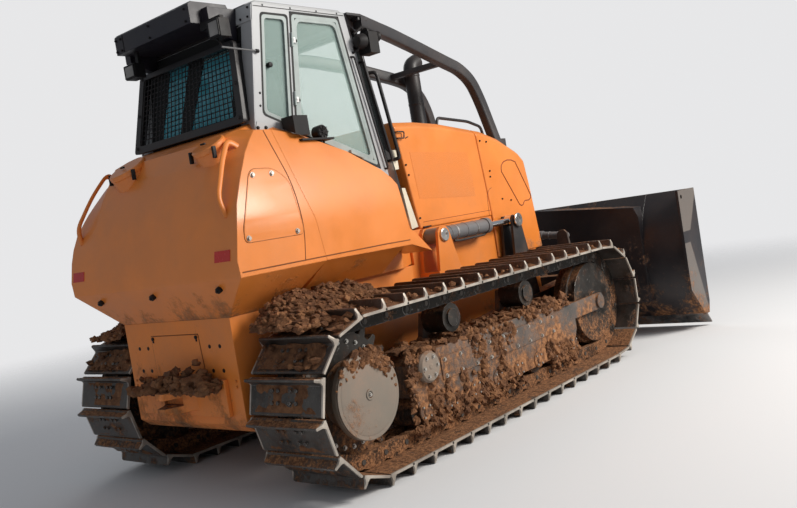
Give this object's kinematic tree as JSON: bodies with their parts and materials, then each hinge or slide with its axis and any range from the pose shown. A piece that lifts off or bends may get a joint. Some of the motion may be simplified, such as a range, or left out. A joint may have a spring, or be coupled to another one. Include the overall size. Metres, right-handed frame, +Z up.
{
  "type": "crawler bulldozer",
  "caption": "Crawler bulldozer with angling and tilting blade, enclosed cab, brush guard bars, hydraulic cylinders and grouser tracks.",
  "frame": {"origin": "centre of the bounding box in X and Y, on the ground at the grouser tips", "axes": "+X forward to the blade, +Y to the left, +Z up"},
  "size_m": [5.2686, 3.05, 3.05],
  "materials": {
    "angle_barrel_left": "satin",
    "angle_barrel_right": "satin",
    "angle_rod_left": "polished",
    "angle_rod_right": "polished",
    "blade": "satin",
    "blade_yoke": "satin",
    "c_frame": "satin",
    "cab_door_left": "satin",
    "cab_door_right": "satin",
    "cab_frame": "satin",
    "cab_roof": "satin",
    "control_console": "matt",
    "cutting_edge": "worn",
    "door_glass_left": "clear",
    "door_glass_right": "clear",
    "drawbar": "satin",
    "engine_block": "matt",
    "exhaust_stack": "satin",
    "fenders": "satin",
    "filler_caps": "satin",
    "final_drive_left": "satin",
    "final_drive_right": "satin",
    "front_frame": "satin",
    "fuel_tank": "satin",
    "grab_rails": "satin",
    "grille": "satin",
    "hood": "satin",
    "idler_left": "worn",
    "idler_right": "worn",
    "idler_yoke_left": "satin",
    "idler_yoke_right": "satin",
    "lift_barrel_left": "satin",
    "lift_barrel_right": "satin",
    "lift_rod_left": "polished",
    "lift_rod_right": "polished",
    "main_frame": "satin",
    "pivot_shafts": "satin",
    "radiator": "satin",
    "radiator_guard": "satin",
    "rear_screen": "satin",
    "rollers_left": "worn",
    "rollers_right": "worn",
    "roof_box": "satin",
    "seat": "matt",
    "sprocket_left": "worn",
    "sprocket_right": "worn",
    "sweeps": "satin",
    "tilt_barrel": "satin",
    "tilt_rod": "polished",
    "track_frame_left": "satin",
    "track_frame_right": "satin",
    "track_left": "worn",
    "track_right": "worn",
    "windows": "clear",
    "work_lamps": "satin"
  },
  "bodies": {
    "chassis": {"cab_frame": "cab_frame", "cab_roof": "cab_roof", "control_console": "control_console", "drawbar": "drawbar", "engine_block": "engine_block", "exhaust_stack": "exhaust_stack", "fenders": "fenders", "filler_caps": "filler_caps", "final_drive_left": "final_drive_left", "final_drive_right": "final_drive_right", "front_frame": "front_frame", "fuel_tank": "fuel_tank", "grab_rails": "grab_rails", "grille": "grille", "hood": "hood", "idler_left": "idler_left", "idler_right": "idler_right", "idler_yoke_left": "idler_yoke_left", "idler_yoke_right": "idler_yoke_right", "main_frame": "main_frame", "pivot_shafts": "pivot_shafts", "radiator": "radiator", "radiator_guard": "radiator_guard", "rear_screen": "rear_screen", "rollers_left": "rollers_left", "rollers_right": "rollers_right", "roof_box": "roof_box", "seat": "seat", "sprocket_left": "sprocket_left", "sprocket_right": "sprocket_right", "sweeps": "sweeps", "track_frame_left": "track_frame_left", "track_frame_right": "track_frame_right", "track_left": "track_left", "track_right": "track_right", "windows": "windows", "work_lamps": "work_lamps"},
    "lift_frame": {"c_frame": "c_frame"},
    "tilt_yoke": {"blade_yoke": "blade_yoke"},
    "blade": {"blade": "blade", "cutting_edge": "cutting_edge"},
    "tilt_barrel": {"tilt_barrel": "tilt_barrel"},
    "tilt_rod": {"tilt_rod": "tilt_rod"},
    "lift_barrel_left": {"lift_barrel_left": "lift_barrel_left"},
    "lift_rod_left": {"lift_rod_left": "lift_rod_left"},
    "angle_barrel_left": {"angle_barrel_left": "angle_barrel_left"},
    "angle_rod_left": {"angle_rod_left": "angle_rod_left"},
    "door_left": {"cab_door_left": "cab_door_left", "door_glass_left": "door_glass_left"},
    "lift_barrel_right": {"lift_barrel_right": "lift_barrel_right"},
    "lift_rod_right": {"lift_rod_right": "lift_rod_right"},
    "angle_barrel_right": {"angle_barrel_right": "angle_barrel_right"},
    "angle_rod_right": {"angle_rod_right": "angle_rod_right"},
    "door_right": {"cab_door_right": "cab_door_right", "door_glass_right": "door_glass_right"}
  },
  "joints": [
    {"name": "frame_lift", "type": "hinge", "parent": "chassis", "child": "lift_frame", "pos_m": [-0.54433, 0, 0.42], "axis": [0, -1, 0], "range_deg": [-12.5, 18]},
    {"name": "blade_tilt", "type": "hinge", "parent": "lift_frame", "child": "tilt_yoke", "pos_m": [1.75567, 0, 0.6], "axis": [1, 0, 0], "range_deg": [-11, 11]},
    {"name": "blade_angle", "type": "hinge", "parent": "tilt_yoke", "child": "blade", "pos_m": [2.05567, 0, 0.6], "axis": [0, 0, 1], "range_deg": [-22, 22]},
    {"name": "lift_barrel_swing_left", "type": "hinge", "parent": "chassis", "child": "lift_barrel_left", "pos_m": [-0.32933, 0.54, 1.35], "axis": [0, -1, 0], "range_deg": [-16.5, 23.6]},
    {"name": "lift_rod_slide_left", "type": "slide", "parent": "lift_barrel_left", "child": "lift_rod_left", "axis": [1, 0, 0], "range_m": [-0.283, 0.197]},
    {"name": "angle_barrel_swing_left", "type": "hinge", "parent": "tilt_yoke", "child": "angle_barrel_left", "pos_m": [1.90567, 0.1, 0.8], "axis": [0, 0, 1], "range_deg": [-23.7, 23.7]},
    {"name": "angle_rod_slide_left", "type": "slide", "parent": "angle_barrel_left", "child": "angle_rod_left", "axis": [0.395, 0.9187, 0], "range_m": [-0.068, 0.068]},
    {"name": "cab_door_left", "type": "hinge", "parent": "chassis", "child": "door_left", "pos_m": [-1.68433, 0.6283, 2.3], "axis": [0.1476, 0, 0.989], "range_deg": [0, 90]},
    {"name": "lift_barrel_swing_right", "type": "hinge", "parent": "chassis", "child": "lift_barrel_right", "pos_m": [-0.32933, -0.54, 1.35], "axis": [0, -1, 0], "range_deg": [-16.5, 23.6]},
    {"name": "lift_rod_slide_right", "type": "slide", "parent": "lift_barrel_right", "child": "lift_rod_right", "axis": [1, 0, 0], "range_m": [-0.283, 0.197]},
    {"name": "angle_barrel_swing_right", "type": "hinge", "parent": "tilt_yoke", "child": "angle_barrel_right", "pos_m": [1.90567, -0.1, 0.8], "axis": [0, 0, 1], "range_deg": [-23.7, 23.7]},
    {"name": "angle_rod_slide_right", "type": "slide", "parent": "angle_barrel_right", "child": "angle_rod_right", "axis": [0.395, -0.9187, 0], "range_m": [-0.068, 0.068]},
    {"name": "cab_door_right", "type": "hinge", "parent": "chassis", "child": "door_right", "pos_m": [-1.68433, -0.6283, 2.3], "axis": [-0.1476, 0, -0.989], "range_deg": [0, 90]},
    {"name": "tilt_barrel_swing", "type": "hinge", "parent": "lift_frame", "child": "tilt_barrel", "pos_m": [1.79567, -0.5, 1.1], "axis": [1, 0, 0], "range_deg": [-1.3, 1.3]},
    {"name": "tilt_rod_slide", "type": "slide", "parent": "tilt_barrel", "child": "tilt_rod", "axis": [0, 0.995, 0.0995], "range_m": [-0.106, 0.106]}
  ],
  "couplings": [
    {"joint": "lift_barrel_swing_left", "follows": "frame_lift", "ratio": 1.2981},
    {"joint": "lift_rod_slide_left", "follows": "frame_lift", "m_per_rad": -0.89626},
    {"joint": "angle_barrel_swing_left", "follows": "blade_angle", "ratio": 1.0642},
    {"joint": "angle_rod_slide_left", "follows": "blade_angle", "m_per_rad": -0.17404},
    {"joint": "lift_barrel_swing_right", "follows": "frame_lift", "ratio": 1.2981},
    {"joint": "lift_rod_slide_right", "follows": "frame_lift", "m_per_rad": -0.89626},
    {"joint": "angle_barrel_swing_right", "follows": "blade_angle", "ratio": 1.0642},
    {"joint": "angle_rod_slide_right", "follows": "blade_angle", "m_per_rad": 0.17404},
    {"joint": "tilt_barrel_swing", "follows": "blade_tilt", "ratio": 0.097509},
    {"joint": "tilt_rod_slide", "follows": "blade_tilt", "m_per_rad": -0.54574}
  ]
}
